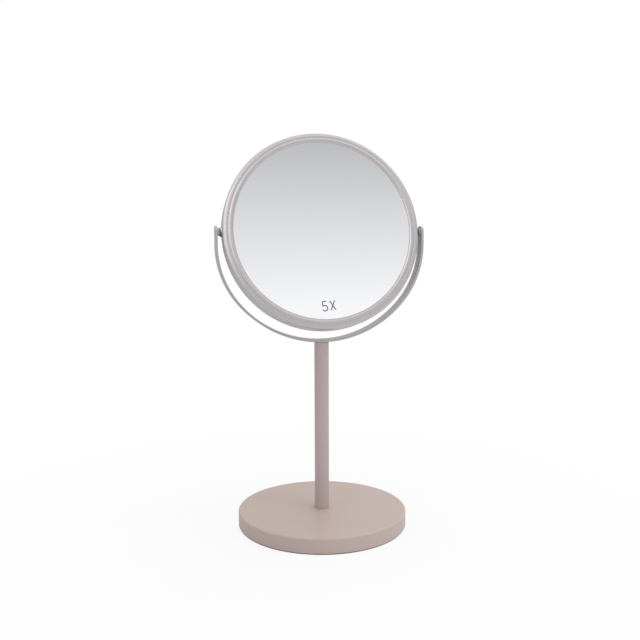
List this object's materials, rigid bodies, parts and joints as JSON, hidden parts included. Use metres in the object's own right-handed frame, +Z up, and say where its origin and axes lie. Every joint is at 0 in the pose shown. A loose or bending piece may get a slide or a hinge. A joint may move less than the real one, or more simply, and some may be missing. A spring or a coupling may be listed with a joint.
{
  "type": "table mirror",
  "caption": "Round two-faced table mirror: a head with a magnifying and a plain face tilts in a strip yoke on a tube stem with a weighted disc foot.",
  "frame": {"origin": "centre of the foot's resting face on the table, under the stem", "axes": "+Z up along the stem, -Y the way the magnifying face looks, X along the tilt axis"},
  "size_m": [0.1816, 0.1474, 0.3406],
  "materials": {
    "paint": "matte warm grey powder coat",
    "plating": "polished",
    "mirror_glass": "silvered on the back",
    "iron": "as cast",
    "steel": "zinc plated",
    "core_plastic": "moulded",
    "plate_plastic": "moulded",
    "nylon": "natural nylon",
    "foam": "closed cell foam",
    "pad_foam": "soft non-slip sheet"
  },
  "bodies": {
    "stand": {"base_cover": "paint", "base_weight": "iron", "bottom_plate": "plate_plastic", "base_pad": "pad_foam", "foot_bolt": "steel", "foot_washer": "steel", "stem_tube": "paint", "stem_foot_plug": "steel", "stem_top_plug": "steel", "yoke_screw": "steel", "yoke": "paint", "pivot_bush_left": "nylon", "pivot_bush_right": "nylon"},
    "head": {"pivot_boss_left": "plating", "pivot_boss_right": "plating", "pivot_washers": "steel", "pivot_nuts": "steel", "head_band": "paint", "core_ring": "core_plastic", "front_bezel": "paint", "rear_bezel": "paint", "magnifying_glass": "mirror_glass", "plain_glass": "mirror_glass", "front_gasket": "foam", "rear_gasket": "foam", "front_backing": "foam", "rear_backing": "foam"}
  },
  "joints": [
    {"name": "head_tilt", "type": "hinge", "parent": "stand", "child": "head", "pos_m": [0, 0, 0.256], "axis": [1, 0, 0], "continuous": true}
  ]
}
